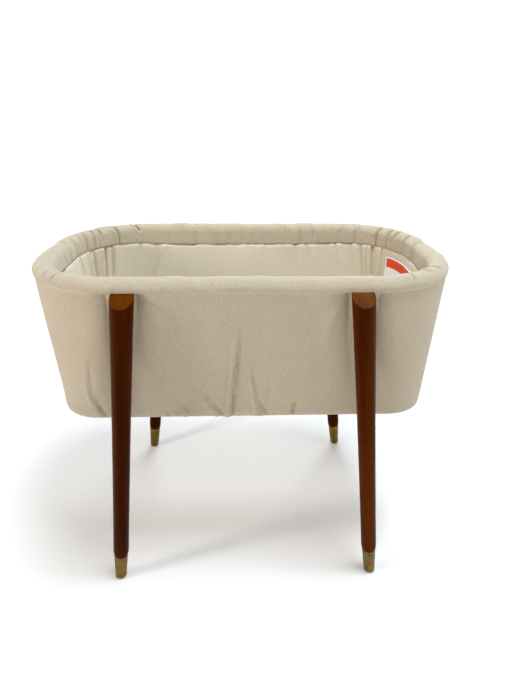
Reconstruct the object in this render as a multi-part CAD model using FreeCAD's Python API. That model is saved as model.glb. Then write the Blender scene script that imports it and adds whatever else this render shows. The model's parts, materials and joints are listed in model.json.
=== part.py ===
import FreeCAD, Part
import math
import os

# Bassinet on a stand: a padded fabric basket hung between four splayed wood legs.
# Millimetres. Origin on the floor under the middle of the basket, +X along its length,
# +Y to its far side, +Z up.

V = FreeCAD.Vector
ORIGIN = V(0, 0, 0)
UP = V(0, 0, 1)

# ---- driving dimensions -------------------------------------------------------------
# rim: a tube bent to a rounded rectangle, with a foam sleeve and the rolled cover on it
RIM_HALF_X = 405.0
RIM_HALF_Y = 227.5
RIM_CORNER = 169.0
RIM_Z = 690.0
ROLL_R = 20.0
COVER = 3.0
ROLL_LEAVE_ANGLE = 176.0
SEAM_Z = 666.0
WALL_DROP = 3.0
FOAM_OUT_R = 16.7
FOAM_IN_R = 11.3
TUBE_R = 11.0
TUBE_WALL = 1.5

# base of the basket: the lower edge of the cover, with the base tube inside it
BASE_HALF_X = 390.0
BASE_HALF_Y = 201.0
BASE_CORNER = 84.0
BASE_UNDERSIDE = 393.0
CLEAR = 0.3
HEM_WIDTH = 65.0
ELASTIC_WIDTH = 12.0
ELASTIC_THICK = 1.0
RAIL_X = 120.0
RAIL_SIZE = 20.0
BOARD_MARGIN = 9.0
BOARD = 5.0
SCREW_Y = 120.0
SCREW_R = 1.9
SCREW_HOLE_R = 2.0
SCREW_HEAD_R = 4.2
SCREW_HEAD = 2.4
SCREW_LENGTH = 16.0
SCREW_TIP = 3.0
SCREW_TIP_R = 0.6

# liner, label and mattress
LINER = 2.0
LINER_FOOT_MARGIN = 13.0
LINER_TOP_GAP = 0.5
MATTRESS_HALF_X = 366.0
MATTRESS_HALF_Y = 178.5
MATTRESS_CORNER = 90.0
MATTRESS_THICK = 25.0
TICKING = 1.5
SLIT_HALF = 210.0
SLIT_GAP = 6.0
LABEL_X = (330.0, 410.0)
LABEL_Y = (-10.0, 133.0)
LABEL_Z = (583.0, 646.0)
LABEL_THICK = 0.8

# legs: turned and tapered, splayed along the length only
LEG_TOP = V(213.5, 254.0, 687.0)
LEG_FOOT = V(290.0, 253.0, 0.0)
LEG_TOP_R = 22.0
LEG_MID_R = 18.5
LEG_LOW_R = 17.0
LEG_LOW = 150.0
SHOULDER = 15.0
FACET_TOP_Y = 246.0
FACET_TIP_Y = 275.5
FACET_TIP_Z = 665.0
FACET_EDGE = 1.4
TENON_GAP = 0.05
FERRULE_TOP = 70.0
FERRULE_TOP_R = 15.4
FERRULE_FOOT_R = 12.3
FERRULE_WALL = 1.5
FERRULE_FLOOR = 4.0
FERRULE_EDGE = 2.0
GLIDE = 3.0
GLIDE_R = 9.0
GLIDE_EDGE = 0.8
PIN_R = 1.2
PIN_TOP = 18.0

# uprights and the bolts that hold the legs to them, through the cover
UPRIGHT_X = 218.9
UPRIGHT_WIDTH = 38.0
UPRIGHT = 4.0
UPRIGHT_BEND_Z = 672.0
BOLT_Z = (662.0, 615.0)
BOLT_R = 2.95
BOLT_REACH = 14.0
HEAD_R = 5.25
HEAD = 3.3
HEAD_ROUND = 1.5
HEX_R = 2.3
HEX_DEPTH = 2.0
WASHER_R = 6.5
WASHER = 1.2
BOLT_HOLE_R = 3.3
BOLT_LINE = 20.0
EYELET_R = 6.0
EYELET_BORE_R = 3.2
INSERT_R = 4.5
INSERT_BORE_R = 3.0
INSERT_LENGTH = 16.0

# spigots and rivets that join the bent tubes
SPIGOT_R = 9.4
SPIGOT_LENGTH = 60.0
RIVET_R = 2.0
RIVET_X = 15.0
JOINT_GAP = 0.5
NOTCH_GAP = 0.5

# reach of the blocks that cut the parts, well past them
FAR = 500.0
PAST = 60.0

# ---- levels and slopes that follow --------------------------------------------------
WALL_TOP_Z = RIM_Z - WALL_DROP
WALL_TOP_OUT = math.sqrt(ROLL_R ** 2 - WALL_DROP ** 2)
WALL_TOP_IN = math.sqrt((ROLL_R - COVER) ** 2 - WALL_DROP ** 2)
TUBE_INSET = COVER + CLEAR + TUBE_R
BASE_TUBE_Z = BASE_UNDERSIDE + TUBE_INSET
BOARD_Z = BASE_TUBE_Z + TUBE_R
LINER_Z = BOARD_Z + BOARD
LINER_TOP_Z = SEAM_Z - LINER_TOP_GAP
MATTRESS_Z = LINER_Z + LINER + 0.5
WALL_SLOPE = (RIM_HALF_Y + WALL_TOP_OUT - BASE_HALF_Y) / (WALL_TOP_Z - BASE_TUBE_Z)
WALL_LEAN = math.atan(WALL_SLOPE)
WALL_OUT = V(0, math.cos(WALL_LEAN), -math.sin(WALL_LEAN))
CORNERS = {
    "front_left": (-1, -1),
    "front_right": (1, -1),
    "rear_left": (-1, 1),
    "rear_right": (1, 1),
}


# ---- helpers ------------------------------------------------------------------------
def single(shape):
    """The one solid of a boolean's result."""
    return shape.removeSplitter().Solids[0]


def outline(half_x, half_y, corner, z):
    """A rounded rectangle, as a closed wire at height z."""
    run_x = half_x - corner
    run_y = half_y - corner
    edges = []
    for centre_x, centre_y, start in (
        (run_x, run_y, 0),
        (-run_x, run_y, 90),
        (-run_x, -run_y, 180),
        (run_x, -run_y, 270),
    ):
        circle = Part.Circle(V(centre_x, centre_y, z), UP, corner)
        edges.append(Part.Arc(circle, math.radians(start), math.radians(start + 90)).toShape())
    joined = []
    for arc, following in zip(edges, edges[1:] + edges[:1]):
        joined.append(arc)
        joined.append(Part.makeLine(arc.lastVertex().Point, following.firstVertex().Point))
    return Part.Wire(joined)


def plate(half_x, half_y, corner, z, thick):
    """A flat rounded rectangle of the given thickness."""
    return Part.Face(outline(half_x, half_y, corner, z)).extrude(V(0, 0, thick))


def blend(low, high, share):
    return tuple(a + (b - a) * share for a, b in zip(low, high))


def tapered(foot, top, foot_z, top_z, inset, from_z, to_z):
    """A block between two levels of a wall that leans from a foot outline to a top outline."""
    wires = []
    for z in (from_z, to_z):
        share = (z - foot_z) / (top_z - foot_z)
        half_x, half_y, corner = blend(foot, top, share)
        wires.append(outline(half_x - inset, half_y - inset, corner - inset, z))
    return Part.makeLoft(wires, True, True)


def around(section, half_x, half_y, corner):
    """Carry a section in the XZ plane, with X = 0 on the path, round a rounded rectangle."""
    run_x = half_x - corner
    run_y = half_y - corner
    centres = ((run_x, run_y), (-run_x, run_y), (-run_x, -run_y), (run_x, -run_y))
    pieces = []
    for quarter, (centre_x, centre_y) in enumerate(centres):
        reach, run = (half_x, run_y) if quarter % 2 == 0 else (half_y, run_x)
        bend = section.translated(V(corner, 0, 0)).revolve(ORIGIN, UP, 90)
        bend.rotate(ORIGIN, UP, 90 * quarter)
        pieces.append(bend.translated(V(centre_x, centre_y, 0)))
        side = section.translated(V(reach, -run, 0)).extrude(V(0, 2 * run, 0))
        side.rotate(ORIGIN, UP, 90 * quarter)
        pieces.append(side)
    return single(pieces[0].multiFuse(pieces[1:]))


def disc(radius, z):
    """A round section in the XZ plane, centred on the path."""
    return Part.Face(Part.Wire(Part.Circle(V(0, 0, z), V(0, -1, 0), radius).toShape()))


def flat_section(x, z, width, height):
    """A rectangle in the XZ plane, from its low corner."""
    corners = [V(x, 0, z), V(x + width, 0, z), V(x + width, 0, z + height), V(x, 0, z + height)]
    return Part.Face(Part.makePolygon(corners + corners[:1]))


def arc(centre_x, centre_z, radius, start, end):
    """An arc in the XZ plane; angles in degrees from +X towards +Z."""
    points = []
    for angle in (start, (start + end) / 2, end):
        turn = math.radians(angle)
        points.append(V(centre_x + radius * math.cos(turn), 0, centre_z + radius * math.sin(turn)))
    return Part.Arc(*points).toShape()


def strip(points, thickness):
    """A flat bar seen edge-on in the YZ plane: a polyline given a thickness."""
    rows = []
    for index, (y, z) in enumerate(points):
        normals = []
        for a, b in zip(points, points[1:]):
            length = math.hypot(b[0] - a[0], b[1] - a[1])
            normals.append(((b[1] - a[1]) / length, (a[0] - b[0]) / length))
        before = normals[max(index - 1, 0)]
        after = normals[min(index, len(normals) - 1)]
        scale = 1 + before[0] * after[0] + before[1] * after[1]
        rows.append((y, z, (before[0] + after[0]) / scale, (before[1] + after[1]) / scale))
    half = thickness / 2
    outer = [V(0, y + ny * half, z + nz * half) for y, z, ny, nz in rows]
    inner = [V(0, y - ny * half, z - nz * half) for y, z, ny, nz in reversed(rows)]
    return Part.Face(Part.makePolygon(outer + inner + outer[:1]))


def prism(points, half_width):
    """A polygon in the YZ plane, extruded equally to both sides along X."""
    corners = [V(-half_width, y, z) for y, z in points]
    return Part.Face(Part.makePolygon(corners + corners[:1])).extrude(V(2 * half_width, 0, 0))


def turned(*spans):
    """A solid turned about Z from spans of (radius, height) points, starting on the axis.

    Each span carries on from the last: one point is a straight line to it, and more are a
    smooth curve through them.
    """
    first = V(0, 0, spans[0][0][1])
    at = first
    edges = []
    for span in spans:
        through = [at] + [V(radius, 0, height) for radius, height in span]
        curve = Part.BSplineCurve()
        curve.interpolate(through)
        edges.append(Part.makeLine(*through) if len(span) == 1 else curve.toShape())
        at = through[-1]
    edges.append(Part.makeLine(at, first))
    return Part.Face(Part.Wire(edges)).revolve(ORIGIN, UP, 360)


def on_leg_axis(shape):
    """Move a solid from the Z axis to the far right leg's axis, with height 0 at the floor."""
    placed = shape.copy()
    placed.Placement = FreeCAD.Placement(LEG_FOOT, FreeCAD.Rotation(UP, LEG_TOP - LEG_FOOT))
    return placed


def to_corner(shape, signs):
    """Mirror a solid from the far right corner to the corner with the given signs."""
    moved = shape
    if signs[0] < 0:
        moved = moved.mirror(ORIGIN, V(1, 0, 0))
    if signs[1] < 0:
        moved = moved.mirror(ORIGIN, V(0, 1, 0))
    return moved


def wall_y(z):
    """Half width of the cover's outer face at height z, on its long sides."""
    return BASE_HALF_Y + (z - BASE_TUBE_Z) * WALL_SLOPE


def bolt_solid(z, radius, start, length):
    """A cylinder on the bolt line at height z; start is its distance out from the cover."""
    leg_x = LEG_FOOT.x + (LEG_TOP.x - LEG_FOOT.x) * z / LEG_TOP.z
    on_wall = V(leg_x, wall_y(z), z)
    return Part.makeCylinder(radius, length, on_wall + WALL_OUT * start, WALL_OUT)


def box(x, y, z):
    """A box from three (low, high) pairs."""
    size = [pair[1] - pair[0] for pair in (x, y, z)]
    return Part.makeBox(size[0], size[1], size[2], V(x[0], y[0], z[0]))


def closed_section(edges):
    """A face in the XZ plane from the edges of its outline, in any order."""
    return Part.Face(Part.Wire(Part.__sortEdges__(edges)))


def roll_point(radius):
    """Where the cover, straight from the roll on the inside, reaches the seam."""
    leave = math.radians(ROLL_LEAVE_ANGLE)
    z = RIM_Z + radius * math.sin(leave)
    return V(radius * math.cos(leave) - (z - SEAM_Z) * math.tan(math.pi - leave), 0, SEAM_Z)


# ---- fabric -------------------------------------------------------------------------
RIM_PATH = (RIM_HALF_X, RIM_HALF_Y, RIM_CORNER)
COVER_FOOT = (BASE_HALF_X, BASE_HALF_Y, BASE_CORNER)
COVER_TOP = tuple(size + WALL_TOP_OUT for size in RIM_PATH)
COVER_TOP_INNER = tuple(size + WALL_TOP_IN for size in RIM_PATH)
LINER_FOOT = tuple(size - LINER_FOOT_MARGIN for size in COVER_FOOT)
LINER_TOP = tuple(size + roll_point(ROLL_R).x + LINER for size in RIM_PATH)


def make_outer_cover():
    """The fabric outside: from the seam inside, over the rim, down the wall to the underside."""
    inner_r = ROLL_R - COVER
    start = [-math.degrees(math.asin(WALL_DROP / radius)) for radius in (ROLL_R, inner_r)]
    outer_arc = arc(0, RIM_Z, ROLL_R, start[0], ROLL_LEAVE_ANGLE)
    inner_arc = arc(0, RIM_Z, inner_r, start[1], ROLL_LEAVE_ANGLE)
    lines = [
        Part.makeLine(outer_arc.firstVertex().Point, inner_arc.firstVertex().Point),
        Part.makeLine(outer_arc.lastVertex().Point, roll_point(ROLL_R)),
        Part.makeLine(roll_point(ROLL_R), roll_point(inner_r)),
        Part.makeLine(roll_point(inner_r), inner_arc.lastVertex().Point),
    ]
    roll = around(closed_section([outer_arc, inner_arc] + lines), *RIM_PATH)
    wall = tapered(COVER_FOOT, COVER_TOP, BASE_TUBE_Z, WALL_TOP_Z, 0, BASE_TUBE_Z, WALL_TOP_Z)
    foot_inner = tuple(size - COVER for size in COVER_FOOT)
    hollow = tapered(
        foot_inner, COVER_TOP_INNER, BASE_TUBE_Z, WALL_TOP_Z, 0, BASE_TUBE_Z, WALL_TOP_Z
    )
    turn = closed_section(
        [
            arc(-TUBE_INSET, BASE_TUBE_Z, TUBE_INSET, -90, 0),
            arc(-TUBE_INSET, BASE_TUBE_Z, TUBE_INSET - COVER, -90, 0),
            Part.makeLine(
                V(-TUBE_INSET, 0, BASE_UNDERSIDE), V(-TUBE_INSET, 0, BASE_UNDERSIDE + COVER)
            ),
            Part.makeLine(V(-COVER, 0, BASE_TUBE_Z), V(0, 0, BASE_TUBE_Z)),
        ]
    )
    cover = wall.cut(hollow).multiFuse([roll, around(turn, *COVER_FOOT)])
    for signs in CORNERS.values():
        for z in BOLT_Z:
            cover = cover.cut(to_corner(bolt_solid(z, EYELET_R, -2 * COVER, 3 * COVER), signs))
    return single(cover)


def make_under_skirt():
    """The flat panel under the base, sewn to the wall's lower edge and open in the middle."""
    width = HEM_WIDTH - TUBE_INSET
    return around(flat_section(-HEM_WIDTH, BASE_UNDERSIDE, width, COVER), *COVER_FOOT)


def liner_block(inset, from_z, to_z):
    return tapered(LINER_FOOT, LINER_TOP, LINER_Z, LINER_TOP_Z, inset, from_z, to_z)


def make_inner_liner():
    """The fabric wall inside, from the board up to the seam under the roll."""
    outside = liner_block(0, LINER_Z, LINER_TOP_Z)
    return single(outside.cut(liner_block(LINER, LINER_Z, LINER_TOP_Z)))


def make_liner_floor():
    """The fabric floor inside, sewn to the foot of the liner's wall."""
    return liner_block(LINER, LINER_Z, LINER_Z + LINER)


def make_care_label():
    """A sewn label lying on the liner's wall at the far right corner."""
    face = LINER + CLEAR
    layer = liner_block(face, *LABEL_Z).cut(liner_block(face + LABEL_THICK, *LABEL_Z))
    return single(layer.common(box(LABEL_X, LABEL_Y, LABEL_Z)))


def make_hem_elastic():
    """A flat band sewn along the hem, on its upper side."""
    top = BASE_UNDERSIDE + COVER
    return around(flat_section(-HEM_WIDTH, top, ELASTIC_WIDTH, ELASTIC_THICK), *COVER_FOOT)


def make_mattress():
    """A foam core in a ticking cover that has a slit in its underside to take it out."""
    size = (MATTRESS_HALF_X, MATTRESS_HALF_Y, MATTRESS_CORNER)
    inner = tuple(half - TICKING for half in size)
    core = plate(*inner, MATTRESS_Z + TICKING, MATTRESS_THICK - 2 * TICKING)
    case = plate(*size, MATTRESS_Z, MATTRESS_THICK).cut(core)
    half_gap = SLIT_GAP / 2
    slit = box(
        (-SLIT_HALF, SLIT_HALF), (-half_gap, half_gap), (MATTRESS_Z, MATTRESS_Z + TICKING)
    )
    return core, single(case.cut(slit))


# ---- rim ----------------------------------------------------------------------------
BASE_PATH = tuple(size - TUBE_INSET for size in COVER_FOOT)
UPRIGHT_LINE_OUT = COVER + CLEAR + UPRIGHT / 2
UPRIGHT_LINE = [
    (wall_y(z) - UPRIGHT_LINE_OUT / math.cos(WALL_LEAN), z)
    for z in (BASE_TUBE_Z, UPRIGHT_BEND_Z)
] + [(RIM_HALF_Y, RIM_Z)]


def upright_bar(thickness, width):
    """A flat bar in the wall, turned in at its top towards the middle of the rim tube."""
    bar = strip(UPRIGHT_LINE, thickness).extrude(V(width, 0, 0))
    return bar.translated(V(UPRIGHT_X - width / 2, 0, 0))


def tube_joint(y, z):
    """A spigot along X and the two rivets through it; their ends lie in the tube's surface."""
    start = V(-SPIGOT_LENGTH / 2, y, z)
    length = SPIGOT_LENGTH
    spigot = Part.makeCylinder(SPIGOT_R, length, start, V(1, 0, 0))
    spigot = spigot.cut(Part.makeCylinder(SPIGOT_R - TUBE_WALL, length, start, V(1, 0, 0)))
    skin = Part.makeCylinder(TUBE_R, length, start, V(1, 0, 0))
    rivets = []
    for x in (-RIVET_X, RIVET_X):
        shank = Part.makeCylinder(RIVET_R, 4 * TUBE_R, V(x, y, z - 2 * TUBE_R))
        rivets.append(single(shank.common(skin)))
    return spigot.cut(rivets[0].fuse(rivets[1])), rivets


def make_rim():
    """The rim tube in two bent halves, with the spigots and rivets that join them."""
    ring = around(disc(TUBE_R, RIM_Z).cut(disc(TUBE_R - TUBE_WALL, RIM_Z)).Faces[0], *RIM_PATH)
    spigots = []
    rivets = []
    for side in (-1, 1):
        spigot, pair = tube_joint(side * RIM_HALF_Y, RIM_Z)
        spigots.append(spigot.Solids[0])
        rivets += pair
    ring = ring.cut(Part.makeCompound(rivets))
    reach = RIM_HALF_X + ROLL_R
    halves = []
    for side in (-1, 1):
        span = sorted((side * JOINT_GAP / 2, -side * reach))
        halves.append(single(ring.cut(box(span, (-reach, reach), (RIM_Z - ROLL_R, RIM_Z + ROLL_R)))))
    return halves, spigots, rivets


def make_rim_padding():
    """The foam sleeve on the rim tube, notched where the four uprights reach the tube."""
    sleeve = around(disc(FOAM_OUT_R, RIM_Z).cut(disc(FOAM_IN_R, RIM_Z)).Faces[0], *RIM_PATH)
    notch = upright_bar(UPRIGHT + 2 * NOTCH_GAP, UPRIGHT_WIDTH + 4 * NOTCH_GAP)
    for signs in CORNERS.values():
        sleeve = sleeve.cut(to_corner(notch, signs))
    return single(sleeve)


# ---- base ---------------------------------------------------------------------------
def make_base_tube():
    """The base tube: one bent length whose ends meet in the middle of the far side."""
    section = disc(TUBE_R, BASE_TUBE_Z).cut(disc(TUBE_R - TUBE_WALL, BASE_TUBE_Z)).Faces[0]
    ring = around(section, *BASE_PATH)
    spigot, rivets = tube_joint(BASE_PATH[1], BASE_TUBE_Z)
    gap = box(
        (-JOINT_GAP / 2, JOINT_GAP / 2),
        (BASE_PATH[1] - 2 * TUBE_R, BASE_PATH[1] + 2 * TUBE_R),
        (BASE_TUBE_Z - 2 * TUBE_R, BASE_TUBE_Z + 2 * TUBE_R),
    )
    return single(ring.cut(Part.makeCompound(rivets + [gap]))), spigot.Solids[0], rivets


def make_cross_rail(side):
    """A square tube across the base tube, its ends shaped to the round tube."""
    low = BOARD_Z - RAIL_SIZE
    half = RAIL_SIZE / 2
    x = side * RAIL_X
    span = (-BASE_PATH[1], BASE_PATH[1])
    rail = box((x - half, x + half), span, (low, BOARD_Z))
    bore = half - TUBE_WALL
    rail = rail.cut(box((x - bore, x + bore), span, (low + TUBE_WALL, BOARD_Z - TUBE_WALL)))
    return single(rail.cut(around(disc(TUBE_R, BASE_TUBE_Z), *BASE_PATH)).cut(screw_shanks()))


def screw_places():
    return [(x, y) for x in (-RAIL_X, RAIL_X) for y in (-SCREW_Y, SCREW_Y)]


def screw_shanks():
    """The round holes that the board's screws go through."""
    low = BOARD_Z - RAIL_SIZE
    return Part.makeCompound(
        [Part.makeCylinder(SCREW_HOLE_R, LINER_Z - low, V(x, y, low)) for x, y in screw_places()]
    )


def make_board():
    """The board under the mattress and its four countersunk screws."""
    size = tuple(half - BOARD_MARGIN for half in COVER_FOOT)
    board = plate(*size, BOARD_Z, BOARD)
    screws = []
    for x, y in screw_places():
        place = V(x, y, LINER_Z)
        sink = turned([(SCREW_HOLE_R, -SCREW_HEAD)], [(SCREW_HEAD_R, 0)], [(0, 0)])
        sink = sink.translated(place)
        shank = turned(
            [(SCREW_TIP_R, -SCREW_LENGTH)],
            [(SCREW_R, SCREW_TIP - SCREW_LENGTH)],
            [(SCREW_R, -SCREW_HEAD)],
            [(0, -SCREW_HEAD)],
        )
        screws.append(single(sink.fuse(shank.translated(place))))
        board = board.cut(sink)
    return single(board.cut(screw_shanks())), screws


# ---- legs ---------------------------------------------------------------------------
def scarf():
    """The space that the leg's inner side leaves free for the leaning wall."""
    gap = CLEAR / math.cos(WALL_LEAN)
    low = BASE_UNDERSIDE
    high = LEG_TOP.z + PAST
    return prism(
        [(0, low), (wall_y(low) + gap, low), (wall_y(high) + gap, high), (0, high)], FAR
    )


def make_leg():
    """A turned leg with a scarf against the wall and a sloping facet across its top."""
    over = (LEG_TOP - LEG_FOOT).Length + 20
    tenon = FERRULE_WALL + TENON_GAP
    body = turned(
        [(FERRULE_FOOT_R - tenon, 0)],
        [(FERRULE_TOP_R - tenon, FERRULE_TOP)],
        [(FERRULE_TOP_R, FERRULE_TOP)],
        [(LEG_LOW_R - 0.5, FERRULE_TOP + SHOULDER * 0.5), (LEG_LOW_R, FERRULE_TOP + SHOULDER)],
        [(LEG_LOW_R, LEG_LOW)],
        [(LEG_MID_R, (LEG_LOW + over) / 2), (LEG_TOP_R, over)],
        [(0, over)],
    )
    leg = on_leg_axis(body)
    facet_slope = (LEG_TOP.z - FACET_TIP_Z) / (FACET_TOP_Y - FACET_TIP_Y)
    sides = (FACET_TOP_Y - PAST, FACET_TIP_Y + PAST)
    low = [(y, FACET_TIP_Z + facet_slope * (y - FACET_TIP_Y)) for y in sides]
    high = [(y, LEG_TOP.z + 2 * PAST) for y in reversed(sides)]
    facet = prism(low + high, FAR)
    leg = leg.cut(facet)
    rim_edges = [
        edge
        for edge in leg.Edges
        if edge.BoundBox.ZMin > FACET_TIP_Z - 5 and edge.BoundBox.YLength > 1
    ]
    leg = leg.makeFillet(FACET_EDGE, rim_edges)
    leg = leg.cut(scarf())
    floor = GLIDE + FERRULE_FLOOR + CLEAR
    leg = leg.cut(box((0, FAR), (0, FAR), (floor - PAST, floor)))
    leg = leg.cut(glide_pin(0))
    for z in BOLT_Z:
        leg = leg.cut(bolt_solid(z, INSERT_R, 0, CLEAR + INSERT_LENGTH))
    return single(leg)


def make_ferrule():
    """A tapered metal cup on the foot of the leg, cut level at its underside."""
    cones = []
    for inset in (0, FERRULE_WALL):
        foot = (FERRULE_FOOT_R - inset, 0)
        top = (FERRULE_TOP_R - inset, FERRULE_TOP)
        cones.append(on_leg_axis(turned([foot], [top], [(0, FERRULE_TOP)])))
    below = box((0, FAR), (0, FAR), (GLIDE - PAST, GLIDE))
    cup = single(cones[0].cut(below))
    foot_edges = [edge for edge in cup.Edges if edge.BoundBox.ZMax < GLIDE + CLEAR]
    cup = cup.makeFillet(FERRULE_EDGE, foot_edges)
    floor = box((0, FAR), (0, FAR), (GLIDE - PAST, GLIDE + FERRULE_FLOOR))
    cup = cup.cut(cones[1].cut(floor))
    return single(cup.cut(glide_pin(0)))


def glide_place():
    """Where the leg's axis meets the top of the glide."""
    return LEG_FOOT + (LEG_TOP - LEG_FOOT) * (GLIDE / LEG_TOP.z)


def glide_pin(start_z):
    place = glide_place()
    return Part.makeCylinder(PIN_R, PIN_TOP - start_z, V(place.x, place.y, start_z))


def make_glide():
    """A round glide under the ferrule, with the pin that holds it."""
    place = glide_place()
    rounded = [(GLIDE_R - GLIDE_EDGE, 0)], [(GLIDE_R, GLIDE_EDGE)]
    pad = turned(*rounded, [(GLIDE_R, GLIDE)], [(0, GLIDE)]).translated(V(place.x, place.y, 0))
    return single(pad.fuse(glide_pin(GLIDE / 2)))


# ---- fasteners ----------------------------------------------------------------------
INNER_FACE = -(COVER + CLEAR + UPRIGHT)
HEAD_FACE = INNER_FACE - WASHER


def make_bolt(z):
    """A button-head screw from inside the upright into the leg's insert."""
    shank = bolt_solid(z, BOLT_R, HEAD_FACE, BOLT_REACH - HEAD_FACE)
    head = bolt_solid(z, HEAD_R, HEAD_FACE - HEAD, HEAD)
    crown = head.Edges[0] if head.Edges[0].CenterOfMass.y < head.CenterOfMass.y else head.Edges[2]
    head = head.makeFillet(HEAD_ROUND, [crown])
    frame = bolt_solid(z, HEX_R, HEAD_FACE - HEAD, HEX_DEPTH)
    hexagon = Part.makePolygon(
        [
            V(HEX_R * math.cos(math.radians(a)), HEX_R * math.sin(math.radians(a)), 0)
            for a in range(0, 420, 60)
        ]
    )
    recess = Part.Face(hexagon).extrude(V(0, 0, HEX_DEPTH))
    recess.Placement = FreeCAD.Placement(
        frame.CenterOfMass - WALL_OUT * (HEX_DEPTH / 2), FreeCAD.Rotation(UP, WALL_OUT)
    )
    return single(shank.fuse(head).cut(recess))


def make_fasteners():
    """Every set of small round parts on the eight bolt lines."""
    groups = {"leg_bolts": [], "bolt_washers": [], "cover_eyelets": [], "leg_inserts": []}
    for z in BOLT_Z:
        washer = bolt_solid(z, WASHER_R, HEAD_FACE, WASHER)
        eyelet = bolt_solid(z, EYELET_R, -COVER, COVER)
        insert = bolt_solid(z, INSERT_R, CLEAR, INSERT_LENGTH)
        bore = bolt_solid(z, EYELET_BORE_R, HEAD_FACE, BOLT_LINE)
        thread = bolt_solid(z, INSERT_BORE_R, 0, BOLT_LINE)
        made = {
            "leg_bolts": make_bolt(z),
            "bolt_washers": single(washer.cut(bore)),
            "cover_eyelets": single(eyelet.cut(bore)),
            "leg_inserts": single(insert.cut(thread)),
        }
        for name, solid in made.items():
            groups[name] += [to_corner(solid, signs) for signs in CORNERS.values()]
    return groups


def make_upright():
    """One flat bar, drilled for its bolts and shaped to both tubes."""
    bar = upright_bar(UPRIGHT, UPRIGHT_WIDTH)
    bar = bar.cut(around(disc(TUBE_R, RIM_Z), *RIM_PATH))
    bar = bar.cut(around(disc(TUBE_R, BASE_TUBE_Z), *BASE_PATH))
    for z in BOLT_Z:
        bar = bar.cut(bolt_solid(z, BOLT_HOLE_R, -BOLT_LINE, BOLT_LINE))
    solids = sorted(bar.Solids, key=lambda solid: solid.Volume)
    return solids[-1]


# ---- the assembly -------------------------------------------------------------------
def build():
    nodes = {
        "outer_cover": [make_outer_cover()],
        "under_skirt": [make_under_skirt()],
        "inner_liner": [make_inner_liner()],
        "liner_floor": [make_liner_floor()],
        "care_label": [make_care_label()],
        "hem_elastic": [make_hem_elastic()],
        "rim_padding": [make_rim_padding()],
    }
    halves, spigots, rivets = make_rim()
    nodes["rim_tube_left"] = [halves[0]]
    nodes["rim_tube_right"] = [halves[1]]
    nodes["rim_spigots"] = spigots
    base_tube, base_spigot, base_rivets = make_base_tube()
    nodes["base_tube"] = [base_tube]
    nodes["base_spigot"] = [base_spigot]
    nodes["tube_rivets"] = rivets + base_rivets
    nodes["cross_rail_left"] = [make_cross_rail(-1)]
    nodes["cross_rail_right"] = [make_cross_rail(1)]
    board, screws = make_board()
    nodes["base_board"] = [board]
    nodes["board_screws"] = screws
    core, case = make_mattress()
    nodes["mattress_core"] = [core]
    nodes["mattress_cover"] = [case]
    corner_parts = {
        "upright": make_upright(),
        "leg": make_leg(),
        "ferrule": make_ferrule(),
        "foot_glide": make_glide(),
    }
    for part_name, solid in corner_parts.items():
        for place, signs in CORNERS.items():
            nodes[part_name + "_" + place] = [to_corner(solid, signs)]
    nodes.update(make_fasteners())
    return nodes


os.makedirs("parts", exist_ok=True)
for node, solids in build().items():
    shape = solids[0] if len(solids) == 1 else Part.makeCompound(solids)
    shape.exportStep("parts/" + node + ".step")
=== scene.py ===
import json
import math

import bpy
import numpy as np
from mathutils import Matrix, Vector


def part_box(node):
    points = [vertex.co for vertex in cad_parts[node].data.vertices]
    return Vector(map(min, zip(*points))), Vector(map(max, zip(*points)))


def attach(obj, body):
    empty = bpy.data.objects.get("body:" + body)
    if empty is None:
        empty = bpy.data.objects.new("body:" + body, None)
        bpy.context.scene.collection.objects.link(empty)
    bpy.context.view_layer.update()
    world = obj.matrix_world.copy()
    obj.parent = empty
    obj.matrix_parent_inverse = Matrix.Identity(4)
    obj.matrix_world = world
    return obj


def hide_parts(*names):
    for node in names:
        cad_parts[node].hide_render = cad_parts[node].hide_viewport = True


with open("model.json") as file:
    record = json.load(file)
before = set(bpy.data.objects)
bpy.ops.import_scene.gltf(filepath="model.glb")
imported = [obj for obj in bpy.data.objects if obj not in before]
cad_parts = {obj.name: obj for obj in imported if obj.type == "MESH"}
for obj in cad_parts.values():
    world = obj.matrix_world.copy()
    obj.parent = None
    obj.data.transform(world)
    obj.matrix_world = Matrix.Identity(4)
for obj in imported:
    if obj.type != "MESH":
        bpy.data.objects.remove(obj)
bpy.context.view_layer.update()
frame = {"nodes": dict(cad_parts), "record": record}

# Bassinet on a stand: a padded fabric basket hung between four splayed wood legs.
# Metres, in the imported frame: +X along the basket, +Y to its far side, +Z up.

RNG_SEED = 41

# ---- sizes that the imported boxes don't give -----------------------------------------
ROLL_R = 0.020
RIM_CORNER = 0.169
BASE_CORNER = 0.084
ROLL_LEAVE = 176.0
ROLL_END = -8.6
SEAM_DROP = 0.024
TUBE_GAP = 0.0033
LINER = 0.002
LINER_FOOT_CORNER = 0.071
FOAM_R = 0.0120
TALLEST = 0.0062
LINER_LIMIT = 0.0085
PUFF = 0.0045
CLOTH_FRAMES = 20
COVER_THICK = 0.0012
LINER_THICK = 0.0010
LABEL_THIN = 0.0004
PIPING_R = 0.0021
PIPING_CORNER = 0.0895
STITCH = 0.0034
STITCH_GAP = 0.0012
THREAD_R = 0.0004
ELASTIC_WIDTH = 0.012

cover_low, cover_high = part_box("outer_cover")
tube_low, tube_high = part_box("base_tube")
skirt_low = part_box("under_skirt")[0]
band_low, band_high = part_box("hem_elastic")
liner_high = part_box("inner_liner")[1]
floor_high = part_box("liner_floor")[1]
label_low, label_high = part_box("care_label")
pad_low, pad_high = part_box("mattress_cover")
leg_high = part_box("leg_rear_right")[1]
glide_low, glide_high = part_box("foot_glide_rear_right")

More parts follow.
